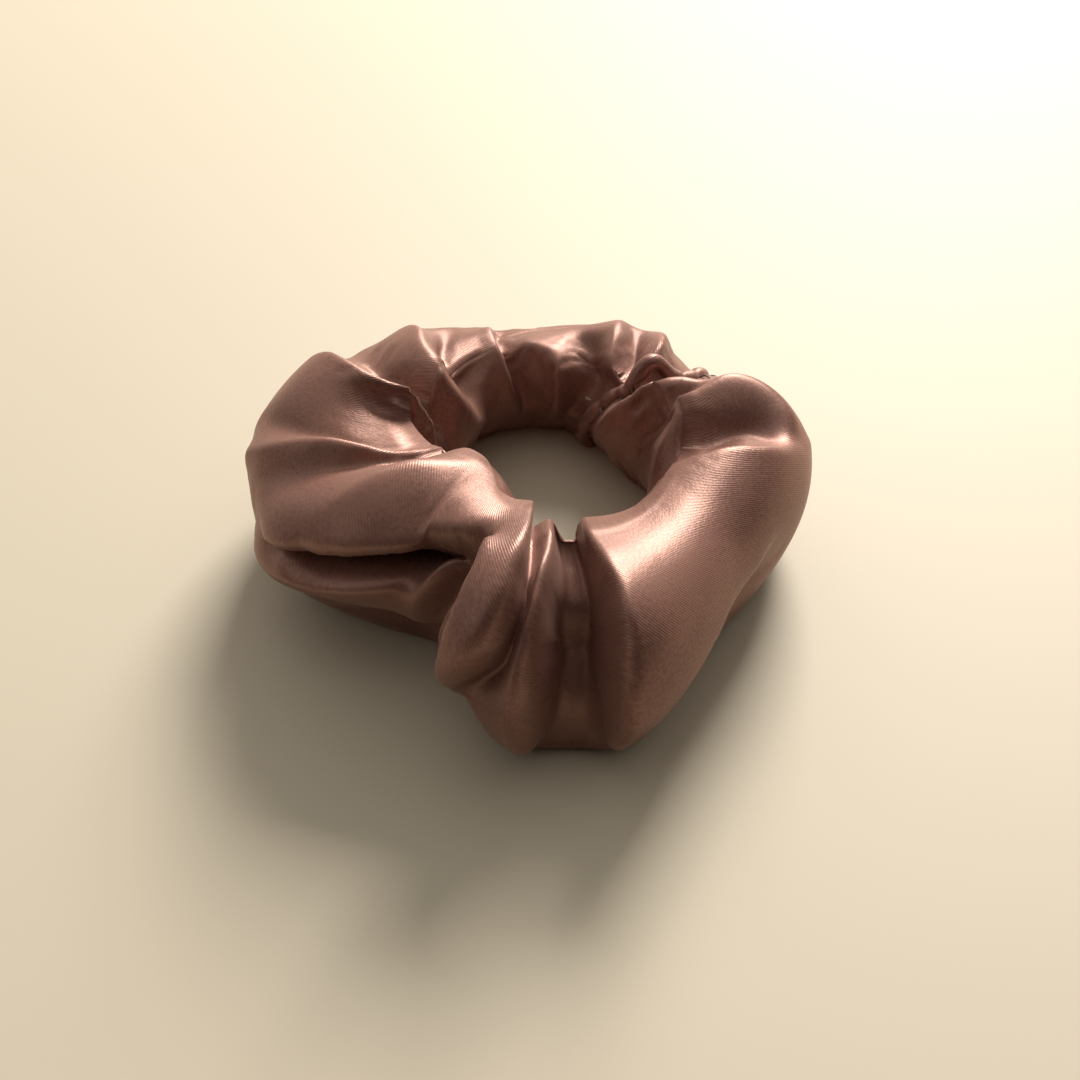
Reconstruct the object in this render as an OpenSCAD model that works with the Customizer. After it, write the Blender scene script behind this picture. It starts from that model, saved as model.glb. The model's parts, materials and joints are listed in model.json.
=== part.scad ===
// A gathered satin scrunchie: a sewn tube of satin pushed up on a loop of flat elastic.
// The loop lies flat. +X runs across it, +Y to the closing seam's side, and +Z up from the table.
// The loop is built in four lengths (left end, front run, right end, back run), because its
// one motion is the stretch along X, and each length keeps its own shape as the loop opens.

/* [Reach of the centreline, from the loop's middle] */
// Reach at the left end
reach_left = 39.5; // [34:0.5:46]
// Reach at the pinch between the left end and the front
reach_pinch = 29; // [27:0.5:40]
// Reach at the front
reach_front = 43; // [38:0.5:50]
// Reach at the slim stretch between the front and the right end
reach_slim = 35; // [32:0.5:42]
// Reach at the right end
reach_right = 37.5; // [34:0.5:46]
// Reach at the back
reach_back = 39; // [36:0.5:46]

/* [Width of the gathered casing] */
// Width at the left end
width_left = 39; // [30:1:44]
// Width at the pinch
width_pinch = 30; // [24:1:32]
// Width at the front
width_front = 38; // [30:1:46]
// Width at the slim stretch
width_slim = 28; // [23:1:34]
// Width at the right end
width_right = 34; // [28:1:42]
// Width at the back, by the closing seam
width_back = 22; // [18:1:30]

/* [Height of the gathered casing] */
// Height at the left end
height_left = 37; // [28:1:44]
// Height at the pinch
height_pinch = 34; // [24:1:40]
// Height at the front
height_front = 38; // [30:1:44]
// Height at the slim stretch
height_slim = 33; // [22:1:40]
// Height at the right end
height_right = 33; // [26:1:40]
// Height at the back
height_back = 22; // [18:1:34]

/* [Satin] */
// Depth of the flat that the casing rests on
rest_sink = 1.6; // [0.8:0.1:2.5]
// Thickness of the gathered satin, taken as one even wall
wall = 1; // [0.6:0.1:1.4]
// Number of gathers round the loop
gathers = 12; // [6:1:18]
// Depth of each gather at the outer rim
gather_depth = 2.4; // [0:0.2:3.6]
// Gap between two lengths of the loop that move apart
length_gap = 0.3; // [0.3:0.1:1]

/* [Closing seam] */
// Direction of the closing seam's middle, in degrees from +X
seam_angle = 60; // [56:1:90]
// Turn of the seam's outer side towards the right end, in degrees
seam_slant = 13; // [0:1:14]
// Width of the folded lip, along the tube
lip_w = 3.6; // [2:0.2:6]
// Height of the folded lip above the casing
lip_h = 1.3; // [0.6:0.1:2.2]
// Number of stitches round the tube
closing_stitches = 16; // [10:1:24]

/* [Side seam] */
// Place of the side seam round the tube, in degrees from its outermost line
side_seam_at = 236; // [215:1:250]
// Width of the seam allowance that stands inside the tube
allowance_w = 5; // [3:0.5:7]
// Thickness of the two layers of the allowance
allowance_t = 0.6; // [0.4:0.1:1]

/* [Elastic] */
// Width of the flat elastic
elastic_w = 6; // [4:0.5:8]
// Thickness of the flat elastic
elastic_t = 1.2; // [0.8:0.1:1.8]
// Free space between the elastic and the casing's inner wall
elastic_clear = 0.6; // [0.3:0.1:1.5]
// Length of the overlap where the elastic's ends are sewn together
overlap = 12; // [8:1:14]
// Number of zigzag turns in the elastic's join
join_turns = 5; // [3:1:8]

/* [Thread] */
// Thickness of the sewing thread
thread_d = 0.4; // [0.3:0.05:0.6]

/* [Hidden] */

satin = [0.52, 0.39, 0.36];
satin_inside = [0.46, 0.34, 0.31];
elastic_white = [0.90, 0.88, 0.84];
thread_mauve = [0.40, 0.28, 0.26];

// Where each length starts and ends, in degrees from +X.
right_end = [-50, 36];
back_run = [36, 130];
left_end = [130, 230];
front_run = [230, 310];

station = 5;        // degrees between two sections of a swept piece
section_n = 24;     // points round the casing's section
thread_n = 6;       // points round a thread

// The places where reach, width and height are set, in order of angle from +X.
slim_at = 322;
right_at = 5;
front_from = 265;
front_to = 285;
places = [
    [slim_at - 360, reach_slim, width_slim, height_slim],
    [right_at, reach_right, width_right, height_right],
    [90, reach_back, width_back, height_back],
    [170, reach_left, width_left, height_left],
    [238, reach_pinch, width_pinch, height_pinch],
    [front_from, reach_front, width_front, height_front],
    [front_to, reach_front, width_front, height_front],
    [slim_at, reach_slim, width_slim, height_slim],
    [right_at + 360, reach_right, width_right, height_right]
];

// Value k of the places at loop angle a: it eases from one place to the next by half a cosine.
function eased(a, k) =
    let (
        w = a - 360 * floor(a / 360),
        i = max([for (j = [0 : len(places) - 2]) if (places[j][0] <= w) j]),
        t = (w - places[i][0]) / (places[i + 1][0] - places[i][0])
    ) places[i][k] + (places[i + 1][k] - places[i][k]) * (0.5 - 0.5 * cos(180 * t));
function reach(a) = eased(a, 1);
function half_width(a) = eased(a, 2) / 2;
function half_height(a) = (eased(a, 3) + rest_sink) / 2;
function centre_height(a) = half_height(a) - rest_sink;

// A gather is deepest at the outer rim, and this share of its depth is left at the hole.
gather_at_hole = 0.3;
function gather(a, p) =
    let (share = gather_at_hole + (1 - gather_at_hole) * (0.5 + 0.5 * cos(p)))
        -gather_depth * (0.5 - 0.5 * cos(gathers * a)) * share;

// A point of the section at loop angle a: p is 0 at the outer rim, 90 on top, 180 at the hole.
// grow moves it out from the casing's outer face, and floor_z is the lowest that it may be.
function section_point(a, p, grow, floor_z) =
    let (
        out = gather(a, p) + grow,
        across = reach(a) + (half_width(a) + out) * cos(p),
        up = centre_height(a) + (half_height(a) + out) * sin(p)
    ) [across * cos(a), across * sin(a), max(up, floor_z)];

// The closing seam slants across the tube, and the slant dies away towards both ends of its run.
function slanted(a, p) =
    let (room = a < seam_angle ? seam_angle - back_run[0] : back_run[1] - seam_angle)
        a - seam_slant * cos(p) * max(0, 1 - abs(a - seam_angle) / room);

// The raw loop is shifted so that the origin is at the middle of its box.
raw_outer = [
    for (a = [0 : station / 2 : 359.9]) for (p = [0 : 360 / section_n : 359.9])
        section_point(a, p, 0, 0)
];
mid_x = (min([for (q = raw_outer) q.x]) + max([for (q = raw_outer) q.x])) / 2;
mid_y = (min([for (q = raw_outer) q.y]) + max([for (q = raw_outer) q.y])) / 2;
module centred() { translate([-mid_x, -mid_y, 0]) children(); }

// Angle that keeps half of the gap between two lengths at the hole's edge.
hole_r = min([for (place = places) place[1] - place[2] / 2]);
gap_angle = asin(length_gap / 2 / hole_r);
function stations(from, to) =
    let (n = ceil((to - from) / station - 0.01)) [for (i = [0 : n]) from + (to - from) * i / n];
function trimmed(span) = stations(span[0] + gap_angle, span[1] - gap_angle);
function flipped(list) = [for (i = [len(list) - 1 : -1 : 0]) list[i]];

// Two triangles for each cell of a grid of points that is closed across, and along if it says so.
function cells(rows, cols, closed) = [
    for (i = [0 : rows - (closed ? 1 : 2)]) for (j = [0 : cols - 1])
        let (
            k = (i + 1) % rows, l = (j + 1) % cols,
            a = i * cols + j, b = i * cols + l, c = k * cols + l, d = k * cols + j
        ) each [[a, c, b], [a, d, c]]
];

// A solid strand: rings of points along a path, with both ends closed. Each ring runs
// anticlockwise, seen from the strand's far end, so that the faces point outwards.
module strand(rings) {
    cols = len(rings[0]);
    rows = len(rings);
    polyhedron(
        points = [for (ring = rings) each ring],
        faces = concat(
            cells(rows, cols, false),
            [[for (j = [0 : cols - 1]) j]],
            [[for (j = [cols - 1 : -1 : 0]) (rows - 1) * cols + j]]
        )
    );
}

lip_angle = lip_w / reach_back * 180 / PI;

// A hollow length of casing: out along the outer face and back along the inner one.
// lip_at is the angle of an end that carries the folded lip.
module shell(angles, lip_at) {
    function lift(a) = abs(a - lip_at) < lip_angle ? lip_h : 0;
    rows = [
        for (p = [0 : 360 / section_n : 359.9]) concat(
            [for (a = angles) section_point(slanted(a, p), p, lift(a), 0)],
            [for (a = flipped(angles)) section_point(slanted(a, p), p, -wall, wall)]
        )
    ];
    polyhedron(points = [for (row = rows) each row], faces = cells(len(rows), len(rows[0]), true));
}

no_lip = 1000;      // an angle that no length reaches
module casing(span) {
    color(satin) centred() shell(trimmed(span), no_lip);
}

// The lip needs its own close stations, edge degrees to each side, so its step stands up
// sharply.
module casing_lipped() {
    edge = 0.4;
    angles = concat(
        [seam_angle + gap_angle, seam_angle + lip_angle - edge],
        stations(seam_angle + lip_angle + edge, back_run[1] - gap_angle)
    );
    color(satin) centred() shell(angles, seam_angle);
}

// A point inside the tube on the side seam's line: depth goes in from the wall's inner face,
// and side goes across that line.
function seam_point(a, depth, side) =
    let (
        inward = gather(a, side_seam_at) - wall - elastic_clear / 2 - depth,
        across = reach(a) + (half_width(a) + inward) * cos(side_seam_at)
            - side * sin(side_seam_at),
        up = centre_height(a) + (half_height(a) + inward) * sin(side_seam_at)
            + side * cos(side_seam_at)
    ) [across * cos(a), across * sin(a), up];

// The allowance stands in from the wall towards the tube's middle, as a thin fin.
module seam_allowance(span) {
    t = allowance_t / 2;
    color(satin_inside) centred() strand([
        for (a = trimmed(span)) [
            seam_point(a, 0, -t), seam_point(a, allowance_w, -t),
            seam_point(a, allowance_w, t), seam_point(a, 0, t)
        ]
    ]);
}

// The side seam's thread lies in the corner beside the allowance, a little in from its root.
module side_seam_thread(span) {
    off_face = 0.6 * thread_d;
    side = allowance_t / 2 + off_face;
    depth = 1;
    color(thread_mauve) centred() strand([
        for (a = trimmed(span))
            let (middle = seam_point(a, depth, side), out = [cos(a), sin(a), 0]) [
                for (k = [0 : thread_n - 1])
                    let (w = k * 360 / thread_n)
                        middle + thread_d / 2 * (cos(w) * out - [0, 0, sin(w)])
            ]
    ]);
}

// The elastic stands on edge just inside the hole's wall. out is its inner face's distance
// from that wall, beyond the clearance.
function elastic_at(a) =
    reach(a) - half_width(a) + gather_depth * gather_at_hole + wall + elastic_clear;
function elastic_ring(a, out) =
    let (r = elastic_at(a) + out, z = centre_height(a), h = elastic_w / 2, e = elastic_t / 4) [
        for (q = flipped([
            [r, z - h + e], [r + e, z - h], [r + elastic_t - e, z - h], [r + elastic_t, z - h + e],
            [r + elastic_t, z + h - e], [r + elastic_t - e, z + h], [r + e, z + h], [r, z + h - e]
        ])) [q[0] * cos(a), q[0] * sin(a), q[1]]
    ];
module elastic(angles, out = 0) {
    color(elastic_white) centred() strand([for (a = angles) elastic_ring(a, out)]);
}

// The elastic's ends overlap in the middle of the back run. The over end lies outside.
join_middle = (seam_angle + back_run[1]) / 2 + 2;
overlap_angle = overlap / elastic_at(join_middle) * 180 / PI;
join_from = join_middle - overlap_angle / 2;
join_to = join_middle + overlap_angle / 2;
lap_gap = 0.05;
module elastic_under() {
    elastic(stations(join_from, back_run[1] - gap_angle));
}
// It steps outwards just before the overlap, over a ramp of three thicknesses.
module elastic_over() {
    ramp = 3 * elastic_t / elastic_at(join_middle) * 180 / PI;
    lead = 1;
    flat_from = join_from - lead;
    color(elastic_white) centred() strand(concat(
        [for (a = stations(back_run[0] + gap_angle, flat_from - ramp)) elastic_ring(a, 0)],
        [for (a = stations(flat_from, join_to)) elastic_ring(a, elastic_t + lap_gap)]
    ));
}

// A thread along a list of points. normal is a direction that the thread never runs in.
module thread_along(points, normal) {
    last = len(points) - 1;
    strand([
        for (i = [0 : last])
            let (
                d = points[min(i + 1, last)] - points[max(i - 1, 0)],
                s = cross(d, normal) / norm(cross(d, normal)),
                u = cross(s, d) / norm(cross(s, d))
            ) [
                for (k = [0 : thread_n - 1])
                    let (w = k * 360 / thread_n)
                        points[i] + thread_d / 2 * (cos(w) * s - sin(w) * u)
            ]
    ]);
}

// A straight length of thread from p to q, cut short by trim at both ends.
module rod(p, q, trim) {
    d = q - p;
    turn = acos(d.z / norm(d));
    translate(p) rotate([0, turn, atan2(d.y, d.x)]) translate([0, 0, trim])
        cylinder(d = thread_d, h = norm(d) - 2 * trim, $fn = 24);
}

// A zigzag row on each face of the joined elastic, and a leg through both layers at each turn.
module elastic_join_thread() {
    margin = 1;
    sewn_share = 0.7;
    off_face = 0.3 * thread_d;
    row_trim = 0.9 * thread_d;
    rise = elastic_w / 2 - margin;
    span = overlap_angle * sewn_share / join_turns;
    first = join_middle - span * join_turns / 2;
    outer_face = 2 * elastic_t + lap_gap + off_face;
    inner_face = -off_face;
    function turn(i, out) =
        let (a = first + i * span / 2, r = elastic_at(a) + out)
            [r * cos(a), r * sin(a), centre_height(a) + (i % 2 == 0 ? -rise : rise)];
    color(thread_mauve) centred() {
        for (face = [inner_face, outer_face]) for (i = [0 : 2 * join_turns - 1])
            rod(turn(i, face), turn(i + 1, face), row_trim);
        for (i = [0 : 2 * join_turns])
            rod(turn(i, inner_face), turn(i, outer_face), 0);
    }
}

// Each closing stitch is a short bar in the groove beside the lip, and covers this share of
// its step round the tube. The flat underside, which the table hides, has none.
module closing_seam_thread() {
    groove = seam_angle - 0.35 * lip_angle;
    share = 0.55;
    off_face = 0.35 * thread_d;
    step = 360 / closing_stitches;
    along = [-sin(groove), cos(groove), 0];
    function bar(i, k) =
        let (p = (i + share * k / 3) * step)
            section_point(slanted(groove, p), p, off_face, 0);
    color(thread_mauve) centred() for (i = [0 : closing_stitches - 1])
        if (min(bar(i, 0).z, bar(i, 3).z) > thread_d)
            thread_along([for (k = [0 : 3]) bar(i, k)], along);
}

casing(left_end);  // casing_left
casing(front_run);  // casing_front
casing(right_end);  // casing_right
casing_lipped();  // casing_back_lipped
casing([back_run[0], seam_angle]);  // casing_back_tucked
seam_allowance(left_end);  // seam_allowance_left
seam_allowance(front_run);  // seam_allowance_front
seam_allowance(right_end);  // seam_allowance_right
seam_allowance(back_run);  // seam_allowance_back
side_seam_thread(left_end);  // side_seam_thread_left
side_seam_thread(front_run);  // side_seam_thread_front
side_seam_thread(right_end);  // side_seam_thread_right
side_seam_thread(back_run);  // side_seam_thread_back
elastic(trimmed(left_end));  // elastic_left
elastic(trimmed(front_run));  // elastic_front
elastic(trimmed(right_end));  // elastic_right
elastic_under();  // elastic_back_under
elastic_over();  // elastic_back_over
elastic_join_thread();
closing_seam_thread();
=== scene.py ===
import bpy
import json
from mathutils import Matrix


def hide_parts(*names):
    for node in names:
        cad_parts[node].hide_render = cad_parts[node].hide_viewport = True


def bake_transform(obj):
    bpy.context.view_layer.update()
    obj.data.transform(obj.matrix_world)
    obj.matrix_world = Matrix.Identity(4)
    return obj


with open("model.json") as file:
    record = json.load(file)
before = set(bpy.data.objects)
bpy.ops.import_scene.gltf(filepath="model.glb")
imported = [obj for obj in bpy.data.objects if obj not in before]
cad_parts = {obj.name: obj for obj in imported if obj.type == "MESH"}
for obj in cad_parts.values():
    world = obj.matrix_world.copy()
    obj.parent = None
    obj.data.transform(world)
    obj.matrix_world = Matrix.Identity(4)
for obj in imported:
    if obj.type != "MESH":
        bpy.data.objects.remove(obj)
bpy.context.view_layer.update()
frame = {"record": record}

import json
import math

import bpy
import numpy as np
from mathutils import Vector

# The camera looks down on the loop from the front, as one looks at a thing on a table.
view_down = math.radians(47)
view_from = 0.36
view_width = 0.217
aim = Vector((0.0025, 0.0067, 0.0))
sight = Vector((0, math.cos(view_down), -math.sin(view_down)))
lens_camera = bpy.data.cameras.new("camera")
lens_camera.sensor_width = 36
lens_camera.lens = lens_camera.sensor_width * view_from / view_width
camera = bpy.data.objects.new("camera", lens_camera)
camera.location = aim - sight * view_from
camera.rotation_euler = sight.to_track_quat("-Z", "Y").to_euler()
bpy.context.scene.collection.objects.link(camera)
bpy.context.scene.camera = camera


# ---------------------------------------------------------------------------------------
# Elastic. A flat braided band 6 mm wide, its ends lapped by 12 mm and sewn into a loop. It
# stands on edge inside the casing, against the wall of the hole, and holds the gathers.
mm = 0.001
opening = next(m for m in frame["record"]["mounts"] if m["name"] == "ponytail_opening")
middle = Vector(opening["pos_m"])

# The loop's shape: angle from +X in degrees, then reach of the centreline, width and height.
loop_places = np.array([
    [5, 38, 33, 33], [25, 36.5, 31, 31], [42, 33, 26, 27], [56, 34.5, 24, 27], [72, 38, 22, 25],
    [90, 39, 20, 22], [110, 38.5, 22, 24], [128, 36.5, 28, 28], [148, 35, 35, 33],
    [170, 38.5, 39, 36], [200, 34.5, 42, 38], [222, 29, 36, 37], [237, 26, 29, 34],
    [250, 32, 28, 35], [264, 41, 36, 38], [286, 43, 38, 38], [304, 38.5, 31, 35],
    [322, 35.5, 27, 33], [345, 36, 30, 33],
])
# The resting tube's section reaches this far below the table, where the satin lies flat.
rest_sink = 1.6


def round_the_loop(turn, column, blur=5.0):
    """The value in a column at each turn: straight lines between the places, with every wave
    of n ripples round the loop weakened by exp(-(n * blur)^2 / 2), so that no corner is left."""
    degrees = np.arange(360.0)
    value = np.interp(degrees, loop_places[:, 0], loop_places[:, column], period=360)
    ripples = np.fft.rfft(value)
    ripples *= np.exp(-0.5 * (np.radians(blur) * np.arange(len(ripples))) ** 2)
    return np.interp(turn, degrees, np.fft.irfft(ripples, 360), period=360)


def on_tube(turn, around):
    """Points of the plain tube, in millimetres. At each turn the section is an ellipse in an
    upright plane: across = reach + half width * cos(around), and
    up = centre height + half height * sin(around). around is 0 at the outer rim, 90 on top
    and 180 at the hole."""
    reach = round_the_loop(turn, 1)
    half_width = round_the_loop(turn, 2) / 2
    half_height = (round_the_loop(turn, 3) + rest_sink) / 2
    t, a = np.radians(turn), np.radians(around)
    across = reach + half_width * np.cos(a)
    up = half_height - rest_sink + half_height * np.sin(a)
    return np.stack([
        middle.x / mm + across * np.cos(t), middle.y / mm + across * np.sin(t), up + 0 * t,
    ], -1)


def make_piece(name, points, size, closed_along, closed_around, material):
    """A piece from a grid of points in millimetres. Its cloth map runs from 0 to size, in
    metres, along the grid and across it. Open ends of a closed section get a flat cap."""
    rows, columns = points.shape[:2]
    i, j = np.meshgrid(
        np.arange(rows - (not closed_along)), np.arange(columns - (not closed_around)),
        indexing="ij",
    )
    k, l = (i + 1) % rows, (j + 1) % columns
    faces = np.stack(
        [i * columns + j, k * columns + j, k * columns + l, i * columns + l], -1
    ).reshape(-1, 4).tolist()
    corners = np.stack([
        np.stack([i, i + 1, i + 1, i], -1) / rows * size[0],
        np.stack([j, j, j + 1, j + 1], -1) / columns * size[1],
    ], -1).reshape(-1, 2)
    if closed_around and not closed_along:
        faces += [list(range(columns)), list(range(rows * columns - 1, (rows - 1) * columns - 1, -1))]
        corners = np.concatenate([corners, np.zeros((2 * columns, 2))])
    mesh = bpy.data.meshes.new(name)
    mesh.from_pydata((points.reshape(-1, 3) * mm).tolist(), [], faces)
    mesh.polygons.foreach_set("use_smooth", np.ones(len(mesh.polygons), bool))
    mesh.uv_layers.new(name="cloth").data.foreach_set("uv", corners.ravel())
    mesh.materials.append(material)
    piece = bpy.data.objects.new(name, mesh)
    bpy.context.scene.collection.objects.link(piece)
    return piece


def stretch_with_loop(piece):
    """Every piece runs right round the loop. Its placement is baked into its points."""
    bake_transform(piece)


def plain_material(name):
    """A new material, and its nodes, links and shader."""
    material = bpy.data.materials.new(name)
    material.use_nodes = True
    nodes = material.node_tree.nodes
    return material, nodes, material.node_tree.links, nodes["Principled BSDF"]


elastic_width, elastic_thick, elastic_room = 6, 1.2, 2.3
elastic_length, elastic_girth = 0.165, 0.0144
rib_count, rib_depth = 12, 0.07
# The lap's two ends, the step over it, and where the band starts to step out and for how long.
lap_from, lap_to, lap_step = 84, 110, 1.25
step_from, step_long = 350, 8


def elastic_face(turn):
    """How far the elastic's inner face lies from the middle at a turn: the hole's wall plus
    room for the casing."""
    return round_the_loop(turn, 1) - round_the_loop(turn, 2) / 2 + elastic_room


def centre_height(turn):
    """Half the tube's height, less the part that is pressed flat on the table."""
    return (round_the_loop(turn, 3) - rest_sink) / 2


def elastic_band():
    """The band's section is a rounded oblong: |x / a|^6 + |y / b|^6 = 1, and its two faces
    carry ribs, x += rib_depth * cos(2 pi * rib_count * y / width). It is carried round the
    loop once and on over its own start, and it steps out by a thickness before the lap."""
    turn = np.linspace(lap_from, lap_to + 360, 520)
    a = np.linspace(0, 2 * np.pi, 72, endpoint=False)
    x = elastic_thick / 2 * np.sign(np.cos(a)) * np.abs(np.cos(a)) ** (1 / 3)
    y = elastic_width / 2 * np.sign(np.sin(a)) * np.abs(np.sin(a)) ** (1 / 3)
    x += rib_depth * np.cos(2 * np.pi * rib_count * y / elastic_width) * np.sign(x)
    step = lap_step * soft_step((turn - lap_from - step_from) / step_long)
    across = (elastic_face(turn) + elastic_thick / 2 + step)[:, None] + x
    up = centre_height(turn)[:, None] + y
    t = np.radians(turn)[:, None]
    return np.stack([
        middle.x / mm + across * np.cos(t), middle.y / mm + across * np.sin(t), up,
    ], -1)


def soft_step(x):
    """0 below 0, 1 above 1, and 3x^2 - 2x^3 between."""
    x = np.clip(x, 0, 1)
    return x * x * (3 - 2 * x)


def elastic_material():
    """Braided elastic: off-white yarn whose plaits cross at a slant every 0.9 mm."""
    material, nodes, links, shader = plain_material("elastic")
    cloth = nodes.new("ShaderNodeUVMap")
    cloth.uv_map = "cloth"
    plait = nodes.new("ShaderNodeTexWave")
    plait.bands_direction = "DIAGONAL"
    plait.inputs["Scale"].default_value = 500
    plait.inputs["Distortion"].default_value = 1.5
    links.new(cloth.outputs["UV"], plait.inputs["Vector"])
    relief = nodes.new("ShaderNodeBump")
    relief.inputs["Strength"].default_value = 0.6
    relief.inputs["Distance"].default_value = 0.0001
    links.new(plait.outputs["Fac"], relief.inputs["Height"])
    links.new(relief.outputs["Normal"], shader.inputs["Normal"])
    colour = nodes.new("ShaderNodeValToRGB")
    colour.color_ramp.elements[0].color = (0.50, 0.46, 0.40, 1)
    colour.color_ramp.elements[1].color = (0.72, 0.68, 0.61, 1)
    links.new(plait.outputs["Fac"], colour.inputs["Fac"])
    links.new(colour.outputs["Color"], shader.inputs["Base Color"])
    shader.inputs["Roughness"].default_value = 0.8
    return material


elastic = make_piece(
    "elastic_band", elastic_band(), (elastic_length, elastic_girth), False, True,
    elastic_material(),
)
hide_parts("elastic_left", "elastic_front", "elastic_right", "elastic_back_under",
            "elastic_back_over")
stretch_with_loop(elastic)

# ---------------------------------------------------------------------------------------
# The elastic's join. Mauve polyester thread, sewn by machine in a zigzag through both lapped
# ends. The row on each face is made here, and the short legs inside the band are not.
thread_thick = 0.4


def threads(name, paths, guide, material):
    """Round threads along paths of points. Each ring stands across its path: one of its
    directions is heading x guide, and the other is that direction x heading."""
    heading = np.gradient(paths, axis=1)
    heading /= np.linalg.norm(heading, axis=-1, keepdims=True) + 1e-9
    beside = np.cross(heading, guide)
    beside /= np.linalg.norm(beside, axis=-1, keepdims=True) + 1e-9
    above = np.cross(beside, heading)
    a = np.radians(np.arange(0, 360, 60))[:, None]
    ring = np.cos(a) * beside[:, :, None] + np.sin(a) * above[:, :, None]
    rings = paths[:, :, None] + thread_thick / 2 * ring
    count, rows, columns = rings.shape[:3]
    n, i, j = np.meshgrid(
        np.arange(count), np.arange(rows - 1), np.arange(columns), indexing="ij"
    )
    start, l = n * rows * columns, (j + 1) % columns
    faces = np.stack([
        start + i * columns + j, start + (i + 1) * columns + j,
        start + (i + 1) * columns + l, start + i * columns + l,
    ], -1).reshape(-1, 4)[:, ::-1].tolist()
    first = np.arange(count)[:, None] * rows * columns + np.arange(columns)
    faces += first.tolist() + (first + (rows - 1) * columns)[:, ::-1].tolist()
    mesh = bpy.data.meshes.new(name)
    mesh.from_pydata((rings.reshape(-1, 3) * mm).tolist(), [], faces)
    mesh.polygons.foreach_set("use_smooth", np.ones(len(mesh.polygons), bool))
    mesh.materials.append(material)
    piece = bpy.data.objects.new(name, mesh)
    bpy.context.scene.collection.objects.link(piece)
    return piece


def thread_material():
    """Spun polyester thread: dark mauve, with the fine twist of its plies."""
    material, nodes, links, shader = plain_material("thread")
    place = nodes.new("ShaderNodeTexCoord")
    twist = nodes.new("ShaderNodeTexNoise")
    twist.inputs["Scale"].default_value = 4000
    links.new(place.outputs["Object"], twist.inputs["Vector"])
    relief = nodes.new("ShaderNodeBump")
    relief.inputs["Strength"].default_value = 0.5
    relief.inputs["Distance"].default_value = 0.00005
    links.new(twist.outputs["Fac"], relief.inputs["Height"])
    links.new(relief.outputs["Normal"], shader.inputs["Normal"])
    colour = nodes.new("ShaderNodeValToRGB")
    colour.color_ramp.elements[0].color = (0.060, 0.028, 0.023, 1)
    colour.color_ramp.elements[1].color = (0.17, 0.090, 0.075, 1)
    links.new(twist.outputs["Fac"], colour.inputs["Fac"])
    links.new(colour.outputs["Color"], shader.inputs["Base Color"])
    shader.inputs["Roughness"].default_value = 0.5
    shader.inputs["Sheen Weight"].default_value = 0.3
    return material


# A row goes up and down by join_rise, in straight runs: arcsin(sin(x)) / (pi / 2).
join_turns, join_rise, join_from, join_to = 10, 2.0, 92, 104
join_turn = np.linspace(join_from, join_to, 12 * join_turns + 1)
join_wave = np.arcsin(np.sin(np.linspace(0, np.pi * join_turns, len(join_turn)))) / (np.pi / 2)
inner_row, outer_row = -0.15, 2 * elastic_thick + 0.2
join_rows = []
for outwards in (inner_row, outer_row):
    across = elastic_face(join_turn) + outwards
    join_rows.append(np.stack([
        middle.x / mm + across * np.cos(np.radians(join_turn)),
        middle.y / mm + across * np.sin(np.radians(join_turn)),
        centre_height(join_turn) + join_rise * join_wave,
    ], -1))
thread = thread_material()
join = threads("elastic_join_stitches", np.array(join_rows), (0.1, 1, 0), thread)
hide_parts("elastic_join_thread")
stretch_with_loop(join)

# ---------------------------------------------------------------------------------------
# Satin casing. One strip of satin, sewn into a tube, turned, and pushed up on the elastic to
# less than half its length, so that it stands in deep soft folds.
along_n, around_n = 400, 120
strip_length, strip_width = 0.32, 0.11
# How finely a line is traced and how often it is smoothed, half the width of an edge, and
# how often the hanging satin is settled on each grid.
trace_steps, trace_blurs, edge_half, hang_rounds = 60, 200, 0.7, 200


def even_turns(count):
    """Turns that divide the centreline into equal lengths: the running length is summed over
    a fine circle, and read back at equal steps."""
    fine = np.linspace(0, 360, 1441)
    reach = round_the_loop(fine, 1)
    line = reach[:, None] * np.stack([np.cos(np.radians(fine)), np.sin(np.radians(fine))], -1)
    run = np.concatenate([[0], np.cumsum(np.linalg.norm(np.diff(line, axis=0), axis=1))])
    return np.interp(np.arange(count) / count * run[-1], run, fine)


def grid_normals(points):
    """Outward normals of a grid that closes both ways: the cross product of the steps along
    its two directions."""
    along = np.roll(points, -1, 0) - np.roll(points, 1, 0)
    around = np.roll(points, -1, 1) - np.roll(points, 1, 1)
    normal = np.cross(along, around)
    return normal / np.linalg.norm(normal, axis=-1, keepdims=True)


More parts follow.
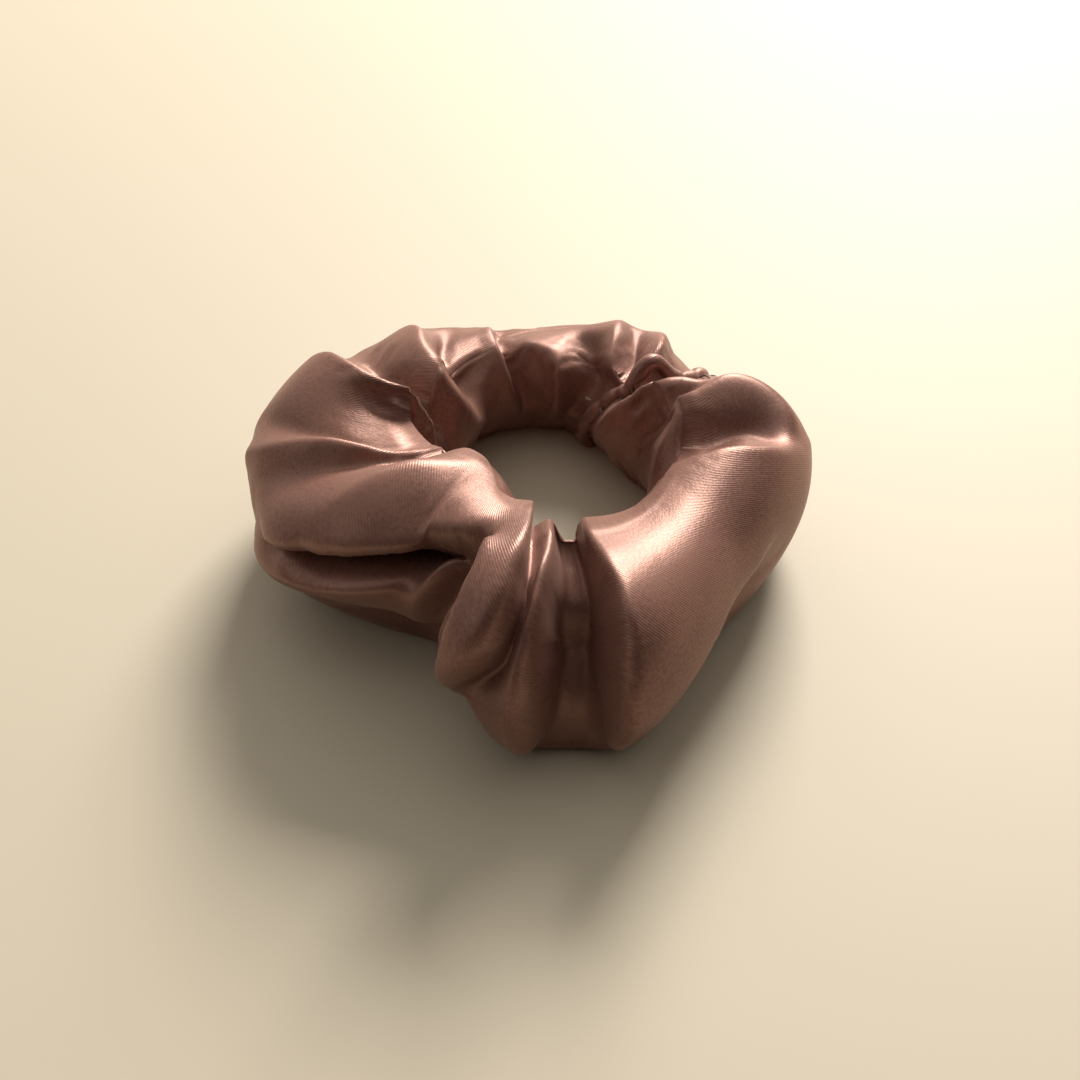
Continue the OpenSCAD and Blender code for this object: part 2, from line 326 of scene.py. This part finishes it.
class Satin:
    """The satin as a grid of points in millimetres. Ridges, valleys and lapped edges are
    drawn on it as lines, and between them it hangs taut, like a tent on its poles."""

    def __init__(self, along, around):
        self.turn, self.around = np.meshgrid(
            even_turns(along), np.arange(around) * 360.0 / around, indexing="ij"
        )
        self.plain = on_tube(self.turn, self.around)
        outward = grid_normals(self.plain)
        forward = np.roll(self.plain, -1, 0) - np.roll(self.plain, 1, 0)
        forward /= np.linalg.norm(forward, axis=-1, keepdims=True)
        self.axes = np.stack([outward, forward, np.cross(outward, forward)], -1)
        self.step = [
            np.linalg.norm(np.roll(self.plain, -1, k) - self.plain, axis=-1) for k in (0, 1)
        ]
        self.pull = np.zeros_like(self.plain)
        self.held = np.zeros(self.turn.shape, bool)

    def trace(self, line, values):
        """A smooth route through the (turn, around) points of a line, with each list of
        values carried along it: straight between the points, then averaged with its
        neighbours 200 times."""
        line = np.array(line, float)
        line[:, 0] = np.unwrap(line[:, 0], period=360)
        knots = np.arange(len(line))
        place = np.linspace(0, len(line) - 1, trace_steps * (len(line) - 1) + 1)
        columns = [line[:, 0], line[:, 1]] + [np.broadcast_to(v, len(line)) for v in values]
        route = np.stack([np.interp(place, knots, column) for column in columns], -1)
        for _ in range(trace_blurs):
            route[1:-1] = (route[:-2] + 2 * route[1:-1] + route[2:]) / 4
        return route.T

    def nearest(self, i, j):
        """The grid point nearest to row i and column j, both of them wrapped round."""
        rows, columns = self.turn.shape
        return np.rint(i).astype(int) % rows, np.rint(j).astype(int) % columns

    def line(self, line, left, right=None, lean=0.0):
        """Hold the satin at a height above the plain tube along a line of (turn, around)
        points. With two heights the line is an edge, 0.7 mm to each side of it, and the
        higher side leans over the lower one by lean to the left."""
        sides = ((left, 0.0),) if right is None else (
            (left, edge_half), (right, -edge_half)
        )
        leading = np.mean(left) > np.mean(left if right is None else right)
        for number, (height, beside) in enumerate(sides):
            turn, around, height, over = self.trace(line, [height, lean])
            i = np.interp(turn % 360, self.turn[:, 0], np.arange(len(self.turn)))
            j = around % 360 / 360 * self.turn.shape[1]
            cell = self.nearest(i, j)
            heading = np.gradient(on_tube(turn, around), axis=0)
            heading = (heading[:, None] @ self.axes[cell])[:, 0, 1:]
            heading /= np.linalg.norm(heading, axis=1, keepdims=True) + 1e-9
            leftward = np.stack([-heading[:, 1], heading[:, 0]], -1)
            i = i + beside * leftward[:, 0] / self.step[0][cell]
            j = j + beside * leftward[:, 1] / self.step[1][cell]
            cell = self.nearest(i, j)
            over = over * (right is not None and (number == 0) == leading)
            self.pull[cell] = np.concatenate([height[:, None], over[:, None] * leftward], 1)
            self.held[cell] = True

    def hang(self, soften=3):
        """Settle the satin between its lines: each free point moves to the mean of its four
        neighbours, first on a coarse grid and then on finer ones. Then every point is
        averaged with its neighbours a few times, which rounds the edges."""
        stiff = [1 / step.mean() ** 2 for step in self.step]
        shape = self.turn.shape
        move = np.zeros((shape[0] // 8, shape[1] // 8, 3))
        for block in (8, 4, 2, 1):
            rows, columns = shape[0] // block, shape[1] // block
            move = np.repeat(np.repeat(move, rows // len(move), 0), columns // move.shape[1], 1)
            tiles = (rows, block, columns, block)
            count = self.held.reshape(tiles).sum((1, 3))[..., None]
            pulled = (self.pull * self.held[..., None]).reshape(*tiles, 3).sum((1, 3))
            fixed = pulled / np.maximum(count, 1)
            for _ in range(hang_rounds):
                mean = stiff[0] * (np.roll(move, 1, 0) + np.roll(move, -1, 0))
                mean += stiff[1] * (np.roll(move, 1, 1) + np.roll(move, -1, 1))
                move = np.where(count > 0, fixed, mean / (2 * sum(stiff)))
        for _ in range(soften):
            for k in (0, 1):
                move = (np.roll(move, 1, k) + 2 * move + np.roll(move, -1, k)) / 4
        self.shift = (self.axes @ move[..., None])[..., 0]

    def points(self):
        """The plain tube's points, moved by the shift."""
        return self.plain + self.shift


satin = Satin(along_n, around_n)
line = satin.line

# The satin keeps to the plain tube along the elastic and where it rests on the table.
every = np.arange(0, 361, 30)
for around in (210, 235, 260, 285):
    line([(turn, around) for turn in every], 0)

# Left end: the hollow behind the pillow, the pillow's top edge, and its fall into the hole.
line([(190, 34), (197, 56), (201, 78), (205, 100), (212, 124)], [-1, -3, -4, -4, -3])
line([(207, 16), (211, 32), (213, 48), (215, 72), (220, 92), (230, 106), (242, 118), (250, 124)],
     [2, 3.5, 4.5, 5.5, 6, 6, 6, 6])
line([(222, 142), (232, 150), (244, 154), (254, 152)], -2)
# Left end: the long dark slit under the pillow, and the belly below it.
line([(203, 20), (211, 27), (222, 41), (232, 54), (245, 72), (256, 93)],
     [3, 5.5, 6, 6, 5.5, 5], [-6, -11, -12, -11, -9, -6], lean=-3.5)
line([(197, -10), (208, 1), (220, 14), (232, 29)], [1, 3.5, 4, 3.5])
line([(203, -14), (214, -16), (225, -16), (235, -14), (242, -12)], [-1, -3, -5, -7, -8])
line([(205, -38), (218, -40), (230, -40), (242, -38)], [-1, -4, -6, -7])
# Left end: soft dents behind the pillow.
line([(172, 34), (180, 57), (188, 82), (196, 104)], [-1, -3, -4, -4])
line([(181, 24), (187, 50), (192, 76), (199, 99)], [1, 1, 1, 0])
# Back left: the sharp ridge with the pocket at its end, and the valley beyond it.
line([(152, 40), (155, 60), (158, 76), (164, 96), (168, 112), (167, 130), (165, 148)],
     [0, 0, 0, -1, -2, -2, -1], [1, 2.5, 4, 5, 5, 4.5, 3])
line([(174, 108), (174, 124), (174, 142), (176, 160)], [-3, -5, -6, -3])
line([(141, 40), (145, 66), (149, 92), (153, 124), (155, 156)], [-2, -4, -6, -6, -4])
# Back: second ridge and the lapped panel.
line([(127, 50), (128, 70), (131, 90), (140, 106), (146, 122), (144, 143), (132, 160), (119, 174)],
     [0, 2, 4, 4.5, 4, 4, 3.5, 2])
line([(117, 70), (120, 90), (126, 110), (128, 130), (122, 152)], [-1, -2, -3, -3, -1])
line([(101, 44), (103, 72), (105, 104), (103, 140), (98, 178)],
     [-4, -4, -3, -2, -1], [-3, -1, 2.5, 3, 1], lean=1)
# Back right: the curled lobe, the pocket beside it, and the loop at the corner.
line([(94, 62), (82, 64), (72, 60)], [-2, -1.5, -1])
line([(97, 104), (91, 114), (83, 124), (77, 138), (78, 160), (81, 188)], [0, 2, 3.5, 4, 3.5, 1.5])
line([(78, 94), (72, 110), (69, 128), (70, 148), (75, 174), (80, 200)],
     [-1, -4, -5, -3.5, -3, -1])
line([(67, 50), (65, 78), (62, 102), (60, 122)], [1, 2, 2, 1])
line([(60, 60), (57, 84), (54, 104), (54, 122)], [-1, -3.5, -4.5, -3])
line([(58, 42), (52, 62), (46, 84), (43, 100), (43, 112)], [1, 3, 4, 3.5, 1.5])
# The closing seam draws the satin in.
line([(41, 30), (41, 60), (41, 88), (42, 118), (52, 137), (60, 153), (68, 173), (75, 205)],
     [-2, -4.5, -5, -3.5, -2, -2, -1.5, -1])
line([(29, 84), (26, 64), (23, 44)], [-2.5, -3, -1])
# Right: the lump beside the seam, the dark wall, the arched ridge and the flat inside it.
line([(58, 196), (52, 168), (43, 140), (34, 122), (25, 106)], [1, 2.5, 3, 3.5, 3])
line([(30, 195), (25, 162), (22, 130), (20, 108)], [-1, -2.5, -4, -3])
line([(350, 156), (0, 130), (10, 110), (15, 88), (11, 70), (4, 52)], [0, 3, 4.5, 5, 4, 2.5])
line([(345, 134), (355, 114), (1, 96), (2, 78), (357, 62)], [-2, -4, -4.5, -4, -2])
# Front right: the broad panel with a crisp edge.
line([(290, 137), (300, 133), (314, 128), (328, 121), (339, 110), (345, 94), (350, 76),
      (354, 58), (1, 42), (8, 26)],
     [-4, -4, -3.5, -3, -2, -1, 0, 0.5, 1, 1], [-1, 0, 1, 2.5, 3.5, 4, 3.5, 2.5, 1.5, 1])
line([(345, 4), (335, 0), (327, -4)], [-1, -3, -5])
# Front right: the fold tucked under the panel.
line([(330, 22), (314, 21), (304, 11), (296, 2), (289, -12)],
     [-3, -5, -6, -5, -2], [-1, -0.5, 0.5, 1, 1], lean=2)
line([(324, -8), (313, -10), (304, -18), (297, -32)], [-5, -4.5, -3, -1.5])
line([(328, -34), (314, -36), (303, -40)], [-3, -4, -2.5])
# Front: the scoop between its two rims.
line([(280, 138), (278, 113), (276, 88), (274, 62), (273, 36), (273, 12), (273, -12), (274, -34),
      (276, -52)], [-1.5, -5, -11, -14, -15, -15, -13, -8, -1])
line([(283, 138), (282, 113), (281, 88), (280, 62), (280, 36), (280, 12), (279.5, -12), (279, -34),
      (278, -52)], [-1.5, -5, -11, -15, -16, -16, -14, -8, -1])
line([(286, 139), (286, 115), (286, 90), (286, 64), (285, 40), (284, 16), (283.5, -8), (283, -34)],
     [-1, 1, 2.5, 3.5, 4, 3.5, 3, 1.5], [-2, -5, -11, -14, -15, -14, -10, -3], lean=-2)
line([(279, 140), (276, 116), (272.5, 90), (269.5, 66), (267.5, 42), (267, 18), (267.5, -8),
      (269, -34)], [-1, 1.5, 3, 3, 3, 3, 3, 3])
line([(262, -40), (270, -58), (281, -58), (288, -40)], [1, 2, 2, 1])
# Front left: the hanging flap from the pillow's end, its slits and the tuck beside it.
line([(252, 84), (248, 63), (244, 38), (241, 13), (239, -8)], [-5, -8, -8, -7, -4], [1, 3, 3, 1, -1])
line([(254, 68), (251.5, 44), (249, 20), (248, 0)], [-2, 1, 2, 1])
line([(256, 86), (257.5, 74), (256.5, 58), (255, 38), (253, 16), (252, -6)],
     [7, 8, 8.5, 8.5, 7, 3], [-3, -7, -8, -8, -6, -1], lean=2)
line([(244, 140), (254, 136), (262, 128), (266, 112), (266.5, 92), (265.5, 66), (263.5, 42),
      (258.5, 20), (255.5, 3)],
     [0, -1, -2, -2, -3, -4, -4, -4, -2], [3, 3.5, 4.5, 5.5, 7, 8, 8.5, 8, 3],
     lean=[1, 2, 3, 3, 3, 3, 3, 3, 2])
# Out of the way of the listed folds, the satin is gathered at random.
chance = np.random.default_rng(7)
for turn in np.arange(6, 200, 11) + chance.uniform(-3, 3, 18):
    depth, slant = chance.uniform(1.5, 3.5), chance.uniform(-8, 8)
    line([(turn, 30), (turn + slant, 0), (turn + 2 * slant, -30), (turn + slant, -55)],
         [0, -depth, -depth, -0.5])
for turn in np.arange(0, 360, 13) + chance.uniform(-4, 4, 28):
    depth, slant = chance.uniform(0.8, 2), chance.uniform(-4, 4)
    line([(turn, 262), (turn + slant, 235), (turn, 208), (turn - slant, 185)],
         [0, -depth, -depth, 0])
satin.hang()


def relax(points, rest, frames=10):
    """Let the satin settle as cloth for a few frames, at ten times its size. It is held
    softly to its folds and firmly at the elastic, and its threads would like to be as long
    as those of the rest shape, so that it wrinkles. It comes to rest on the table."""
    scale = 10 * mm
    rows, columns = points.shape[:2]
    cloth = make_piece("relaxing", points / mm * scale, (1, 1), True, True, None)
    table = bpy.data.objects.new("relaxing_table", bpy.data.meshes.new("relaxing_table"))
    table.data.from_pydata([(-3, -3, 0), (3, -3, 0), (3, 3, 0), (-3, 3, 0)], [], [(0, 1, 2, 3)])
    bpy.context.scene.collection.objects.link(table)
    table.modifiers.new("table", "COLLISION")
    table.collision.thickness_outer = 0.002
    table.collision.cloth_friction = 20
    cloth.shape_key_add(name="Basis")
    longer = cloth.shape_key_add(name="rest")
    longer.data.foreach_set("co", (rest * scale).astype(np.float32).ravel())
    around = np.arange(columns) * 360 / columns
    hold = np.maximum(0.25, 0.8 * np.exp(-((around - 180) / 25) ** 2))
    group = cloth.vertex_groups.new(name="hold")
    for column in range(columns):
        group.add(list(range(column, rows * columns, columns)), float(hold[column]), "REPLACE")
    modifier = cloth.modifiers.new("cloth", "CLOTH")
    settings, contact = modifier.settings, modifier.collision_settings
    settings.quality, settings.mass, settings.air_damping = 5, 0.1, 1
    settings.tension_stiffness = settings.compression_stiffness = 15
    settings.shear_stiffness, settings.bending_stiffness = 5, 0.5
    settings.tension_damping = settings.compression_damping = settings.shear_damping = 5
    settings.effector_weights.gravity = 0.5
    settings.rest_shape_key = longer
    settings.vertex_group_mass = "hold"
    settings.pin_stiffness = 1
    contact.distance_min, contact.self_distance_min = 0.003, 0.006
    contact.use_self_collision = True
    modifier.point_cache.frame_start, modifier.point_cache.frame_end = 1, frames
    for frame_number in range(1, frames + 1):
        bpy.context.scene.frame_set(frame_number)
    settled = cloth.evaluated_get(bpy.context.evaluated_depsgraph_get()).to_mesh()
    place = np.zeros(len(settled.vertices) * 3)
    settled.vertices.foreach_get("co", place)
    for done in (cloth, table):
        bpy.data.meshes.remove(done.data)
    bpy.context.scene.frame_set(1)
    return place.reshape(points.shape) / scale


def over_elastic(points, room):
    """The satin's inner wall stays nearer the hole than the elastic's inner face, by room or
    more. From 2 mm above and below the band, that limit is 4 mm looser."""
    hub = np.array(middle[:2]) / mm
    flat = points[..., :2] - hub
    reach = np.linalg.norm(flat, axis=-1)
    off_band = np.abs(points[..., 2] - centre_height(satin.turn)) - elastic_width / 2
    limit = elastic_face(satin.turn) - room + 4 * soft_step(off_band / 2)
    inner = (satin.around > 110) & (satin.around < 250)
    flat *= np.where(inner, np.minimum(1, limit / reach), 1)[..., None]
    return np.concatenate([flat + hub, points[..., 2:]], -1)


def finer(shift):
    """A coarse grid's values on the grid twice as fine: new rows and columns are the means
    of their two neighbours."""
    for k in (0, 1):
        between = (shift + np.roll(shift, -1, k)) / 2
        shape = list(shift.shape)
        shape[k] *= 2
        shift = np.stack([shift, between], k + 1).reshape(shape)
    return shift


# How far the cloth may move: less on the front's taut panels than in the gathers.
spare_length, most_moved, least_moved = 1.35, 0.9, 0.25
points = satin.points()
start = points[::2, ::2].copy()
start[..., 2] = np.maximum(start[..., 2], 0.6)
t = np.radians(satin.turn[::2, ::2])
outwards = np.stack([np.cos(t), np.sin(t), 0 * t], -1)
spread = round_the_loop(satin.turn[::2, ::2], 1) * (spare_length - 1)
settled = relax(start, satin.plain[::2, ::2] + outwards * spread[..., None])
moved = finer(settled - start)
t, a = np.radians(satin.turn), np.radians(satin.around)
# 1 on the front's top and outer side, for the turn t and the place around a, and 0 away
# from it: soft_step(0.5 - 0.8 sin t) * soft_step(2 cos(a - 0.9) + 0.2).
front_top = soft_step(0.5 - 0.8 * np.sin(t)) * soft_step(2 * np.cos(a - 0.9) + 0.2)
limit = most_moved - (most_moved - least_moved) * front_top[..., None]
length = np.linalg.norm(moved, axis=-1, keepdims=True) + 1e-9
points = points + moved * np.minimum(1, limit / length)
# The satin is drawn off the elastic smoothly, and then cleared by the least room.
room_wanted, room_least, push_blurs = 1.2, 0.4, 8
push = over_elastic(points, room_wanted) - points
for _ in range(push_blurs):
    for k in (0, 1):
        push = (np.roll(push, 1, k) + 2 * push + np.roll(push, -1, k)) / 4
points = over_elastic(points + push, room_least)
table_gap = 0.3
points[..., 2] = np.maximum(points[..., 2], table_gap)


def satin_material():
    """Satin: slanting weave lines 0.4 mm apart on the cloth's own map, a fine grain of
    threads, and slow changes of tone. The gloss is drawn out along the threads."""
    material, nodes, links, shader = plain_material("satin")
    cloth = nodes.new("ShaderNodeUVMap")
    cloth.uv_map = "cloth"
    weave = nodes.new("ShaderNodeTexWave")
    weave.bands_direction = "DIAGONAL"
    weave.inputs["Scale"].default_value = 1100
    weave.inputs["Distortion"].default_value = 0.6
    links.new(cloth.outputs["UV"], weave.inputs["Vector"])
    threads = nodes.new("ShaderNodeTexNoise")
    threads.inputs["Scale"].default_value = 1600
    threads.inputs["Detail"].default_value = 2
    links.new(cloth.outputs["UV"], threads.inputs["Vector"])
    height = nodes.new("ShaderNodeMath")
    height.operation = "MULTIPLY_ADD"
    links.new(weave.outputs["Fac"], height.inputs[0])
    height.inputs[1].default_value = 0.5
    links.new(threads.outputs["Fac"], height.inputs[2])
    relief = nodes.new("ShaderNodeBump")
    relief.inputs["Strength"].default_value = 0.5
    relief.inputs["Distance"].default_value = 0.00009
    links.new(height.outputs[0], relief.inputs["Height"])
    links.new(relief.outputs["Normal"], shader.inputs["Normal"])
    place = nodes.new("ShaderNodeTexCoord")
    tone = nodes.new("ShaderNodeTexNoise")
    tone.inputs["Scale"].default_value = 60
    tone.inputs["Detail"].default_value = 3
    links.new(place.outputs["Object"], tone.inputs["Vector"])
    mix = nodes.new("ShaderNodeMath")
    mix.operation = "MULTIPLY_ADD"
    links.new(threads.outputs["Fac"], mix.inputs[0])
    mix.inputs[1].default_value = 0.8
    links.new(tone.outputs["Fac"], mix.inputs[2])
    colour = nodes.new("ShaderNodeValToRGB")
    colour.color_ramp.elements[0].position = 0.6
    colour.color_ramp.elements[0].color = (0.14, 0.058, 0.044, 1)
    colour.color_ramp.elements[1].position = 1.2
    colour.color_ramp.elements[1].color = (0.23, 0.110, 0.083, 1)
    links.new(mix.outputs[0], colour.inputs["Fac"])
    links.new(colour.outputs["Color"], shader.inputs["Base Color"])
    along = nodes.new("ShaderNodeTangent")
    along.direction_type = "UV_MAP"
    along.uv_map = "cloth"
    links.new(along.outputs["Tangent"], shader.inputs["Tangent"])
    shader.inputs["Metallic"].default_value = 0.35
    shader.inputs["Roughness"].default_value = 0.42
    shader.inputs["Anisotropic"].default_value = 0.45
    shader.inputs["Specular IOR Level"].default_value = 0.9
    shader.inputs["Specular Tint"].default_value = (1.0, 0.80, 0.72, 1)
    shader.inputs["Sheen Weight"].default_value = 0.12
    shader.inputs["Sheen Roughness"].default_value = 0.35
    shader.inputs["Sheen Tint"].default_value = (0.9, 0.62, 0.55, 1)
    return material


satin_cloth = satin_material()
casing = make_piece(
    "satin_casing", points, (strip_length, strip_width), True, True, satin_cloth
)
solid = casing.modifiers.new("cloth thickness", "SOLIDIFY")
solid.thickness = 0.25 * mm
solid.offset = -1
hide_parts("casing_left", "casing_front", "casing_right", "casing_back_lipped",
            "casing_back_tucked")
stretch_with_loop(casing)

# ---------------------------------------------------------------------------------------
# Side seam. The strip's long edges, sewn together inside the tube: two layers of satin stand
# 5 mm in from the wall, and a row of lockstitches holds them at their root.
side_seam_at, allowance_wide, allowance_thick, seam_inset = 236, 5, 0.6, 1.6


def inside_tube(turn, depth, side):
    """Points inside the tube on the side seam's line, where around = side_seam_at: the
    section is smaller by seam_inset + depth all round, and side goes across the line."""
    a, t = np.radians(side_seam_at), np.radians(turn)
    inward = -seam_inset - depth
    across = round_the_loop(turn, 1) + (round_the_loop(turn, 2) / 2 + inward) * np.cos(a)
    across = across - side * np.sin(a)
    half_height = (round_the_loop(turn, 3) + rest_sink) / 2
    up = half_height - rest_sink + (half_height + inward) * np.sin(a) + side * np.cos(a)
    return np.stack([
        middle.x / mm + across * np.cos(t), middle.y / mm + across * np.sin(t), up,
    ], -1)


def seam_allowance():
    """A fin round the whole loop. It waves from side to side, the more so the further it is
    from the seam: side = d * (0.5 sin 41t + 0.4 sin 67t), for the turn t and the share d of
    the fin's width."""
    turn, depth = np.meshgrid(np.linspace(0, 360, 721)[:-1], np.linspace(0, 1, 7), indexing="ij")
    t = np.radians(turn)
    side = depth * (0.5 * np.sin(41 * t) + 0.4 * np.sin(67 * t))
    return inside_tube(turn, depth * allowance_wide, side)


def raw_satin_material():
    """The satin's dull inner side: the same weave, matt and a little darker."""
    material, nodes, links, shader = plain_material("satin inside")
    cloth = nodes.new("ShaderNodeUVMap")
    cloth.uv_map = "cloth"
    weave = nodes.new("ShaderNodeTexWave")
    weave.bands_direction = "DIAGONAL"
    weave.inputs["Scale"].default_value = 1100
    links.new(cloth.outputs["UV"], weave.inputs["Vector"])
    colour = nodes.new("ShaderNodeValToRGB")
    colour.color_ramp.elements[0].color = (0.08, 0.037, 0.030, 1)
    colour.color_ramp.elements[1].color = (0.13, 0.065, 0.053, 1)
    links.new(weave.outputs["Fac"], colour.inputs["Fac"])
    links.new(colour.outputs["Color"], shader.inputs["Base Color"])
    relief = nodes.new("ShaderNodeBump")
    relief.inputs["Strength"].default_value = 0.4
    relief.inputs["Distance"].default_value = 0.00005
    links.new(weave.outputs["Fac"], relief.inputs["Height"])
    links.new(relief.outputs["Normal"], shader.inputs["Normal"])
    shader.inputs["Roughness"].default_value = 0.75
    return material


allowance = make_piece(
    "seam_allowance", seam_allowance(), (strip_length, 0.005), True, False,
    raw_satin_material(),
)
layers = allowance.modifiers.new("two layers", "SOLIDIFY")
layers.thickness = allowance_thick * mm
layers.offset = 0
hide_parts("seam_allowance_left", "seam_allowance_front", "seam_allowance_right",
            "seam_allowance_back")
stretch_with_loop(allowance)

# The lockstitches run beside the fin's root, and dip a little at each of 90 stitches.
stitch_turn = np.linspace(0, 360, 1441)
stitch_side = (allowance_thick / 2 + thread_thick * 0.6) * np.ones_like(stitch_turn)
stitch_depth = 1 + 0.12 * np.sin(np.radians(stitch_turn) * 90)
side_stitches = threads(
    "side_seam_stitches", inside_tube(stitch_turn, stitch_depth, stitch_side)[None],
    (0, 0, 1), thread,
)
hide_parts("side_seam_thread_left", "side_seam_thread_front",
            "side_seam_thread_right", "side_seam_thread_back")
stretch_with_loop(side_stitches)

# ---------------------------------------------------------------------------------------
# Closing seam. One end of the tube is folded under, pulled over the other end and topstitched
# by hand round the tube. It shows as a slanting rolled lip with a pucker at every stitch.
lip_wide, lip_high, closing_stitches = 3.4, 1.7, 16
lip_gap, pucker_depth = 0.1, 0.22
# Where the lip runs: around the tube, and the turn that it has there.
lip_route = np.array([
    [-90, 62], [-45, 50], [0, 43], [45, 40], [90, 42], [135, 52], [180, 68], [225, 73],
])


def on_satin(turn, around, lift):
    """Points on the finished casing, read from its grid between the four nearest points,
    and lifted along its own normal by lift, in millimetres."""
    raised = points + grid_normals(points)
    i = np.interp(turn, satin.turn[:, 0], np.arange(len(points)))
    j = around % 360 / 360 * points.shape[1]
    i0, j0 = np.floor(i).astype(int), np.floor(j).astype(int)
    u, v = (i - i0)[..., None], (j - j0)[..., None]
    i0, i1 = i0 % len(points), (i0 + 1) % len(points)
    j0, j1 = j0 % points.shape[1], (j0 + 1) % points.shape[1]
    base, top = (
        (grid[i0, j0] * (1 - v) + grid[i0, j1] * v) * (1 - u)
        + (grid[i1, j0] * (1 - v) + grid[i1, j1] * v) * u
        for grid in (points, raised)
    )
    return base + (top - base) * np.asarray(lift)[..., None]


def lip_line(count, lift=0.0):
    """The lip's route over the casing, as closed points raised by lift. The turns between its
    places are averaged with their neighbours once for each point, and the points 4 times."""
    around = np.arange(count) * 360 / count
    turn = np.interp(around, lip_route[:, 0] % 360, lip_route[:, 1], period=360)
    for _ in range(count):
        turn = (np.roll(turn, 1) + 2 * turn + np.roll(turn, -1)) / 4
    path = on_satin(turn, around, lift + 0 * turn)
    for _ in range(4):
        path = (np.roll(path, 1, 0) + 2 * path + np.roll(path, -1, 0)) / 4
    return path


def closing_lip():
    """A rounded ridge carried along the lip's route, and flattened where it meets the table.
    Across it, at angle a, the section is (wide / 2 * cos a, high * sin a), and both shrink
    where a stitch pulls in, by 1 - pucker_depth * |cos(pi * stitch number)|^6."""
    count = 320
    path = lip_line(count)
    heading = np.roll(path, -1, 0) - np.roll(path, 1, 0)
    heading /= np.linalg.norm(heading, axis=-1, keepdims=True)
    outward = lip_line(count, lift=1.0) - path
    beside = np.cross(heading, outward)
    beside /= np.linalg.norm(beside, axis=-1, keepdims=True)
    outward = np.cross(beside, heading)
    stitch = np.arange(count) * closing_stitches / count
    pucker = 1 - pucker_depth * np.abs(np.cos(np.pi * stitch)) ** 6
    a = np.radians(np.arange(0, 360, 18))
    wide = lip_wide / 2 * np.cos(a)[None, :, None] * pucker[:, None, None]
    high = lip_high * np.sin(a)[None, :, None] * pucker[:, None, None]
    ridge = path[:, None] + beside[:, None] * wide + outward[:, None] * high
    ridge[..., 2] = np.maximum(ridge[..., 2], lip_gap)
    return ridge


lip = make_piece(
    "closing_lip", closing_lip()[:, ::-1], (strip_width, 0.01), True, True, satin_cloth
)
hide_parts("casing_back_lipped")
stretch_with_loop(lip)

# Each stitch is a short bar beside the lip. It starts 1 degree of turn before the lip's line
# and runs 3 degrees further, at a slant, in a low arch over the casing.
bar_at = (np.arange(closing_stitches) * 360 / closing_stitches)[:, None]
bar_turn = np.interp(bar_at, lip_route[:, 0] % 360, lip_route[:, 1], period=360)
bar_along = np.linspace(0, 1, 9)
bars = on_satin(
    bar_turn - 1 - 3 * bar_along, bar_at + 3 * bar_along,
    0.1 + 0.5 * np.sin(np.pi * bar_along) + 0 * bar_at,
)
bars[..., 2] = np.maximum(bars[..., 2], lip_gap + thread_thick / 2)
closing_thread = threads("closing_stitches", bars, (0.2, 0.3, 1), thread)
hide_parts("closing_seam_thread")
stretch_with_loop(closing_thread)

# ---------------------------------------------------------------------------------------
# Table and light: a plain pale cream table, a broad window light from behind and to the right.
floor_mesh = bpy.data.meshes.new("floor")
floor_mesh.from_pydata([(-2, -2, 0), (2, -2, 0), (2, 2, 0), (-2, 2, 0)], [], [(0, 1, 2, 3)])
floor = bpy.data.objects.new("floor", floor_mesh)
bpy.context.scene.collection.objects.link(floor)
table = bpy.data.materials.new("table")
table.use_nodes = True
table.node_tree.nodes["Principled BSDF"].inputs["Base Color"].default_value = (0.50, 0.44, 0.34, 1)
table.node_tree.nodes["Principled BSDF"].inputs["Roughness"].default_value = 0.6
floor_mesh.materials.append(table)


def area_light(name, place, size, power, colour):
    """A square lamp that looks at the middle of the loop."""
    lamp = bpy.data.lights.new(name, "AREA")
    lamp.size, lamp.energy, lamp.color = size, power, colour
    holder = bpy.data.objects.new(name, lamp)
    holder.location = place
    holder.rotation_euler = (-Vector(place)).to_track_quat("-Z", "Y").to_euler()
    bpy.context.scene.collection.objects.link(holder)


area_light("window", (0.30, 0.94, 0.68), 0.5, 28, (1.0, 0.95, 0.88))
area_light("fill", (-0.8, -0.3, 0.5), 0.5, 0.6, (1.0, 0.96, 0.92))
room = bpy.data.worlds.new("room")
room.use_nodes = True
nodes, links = room.node_tree.nodes, room.node_tree.links
direction = nodes.new("ShaderNodeTexCoord")
parts = nodes.new("ShaderNodeSeparateXYZ")
links.new(direction.outputs["Generated"], parts.inputs["Vector"])
towards_window = nodes.new("ShaderNodeMath")
towards_window.operation = "ADD"
links.new(parts.outputs["Y"], towards_window.inputs[0])
links.new(parts.outputs["Z"], towards_window.inputs[1])
wall = nodes.new("ShaderNodeValToRGB")
wall.color_ramp.elements[0].position = 0.0
wall.color_ramp.elements[0].color = (0.05, 0.045, 0.04, 1)
wall.color_ramp.elements[1].position = 1.0
wall.color_ramp.elements[1].color = (1.0, 0.95, 0.86, 1)
links.new(towards_window.outputs[0], wall.inputs["Fac"])
links.new(wall.outputs["Color"], nodes["Background"].inputs["Color"])
nodes["Background"].inputs["Strength"].default_value = 0.75
bpy.context.scene.world = room
bpy.context.scene.view_settings.view_transform = "Standard"

bpy.context.view_layer.update()
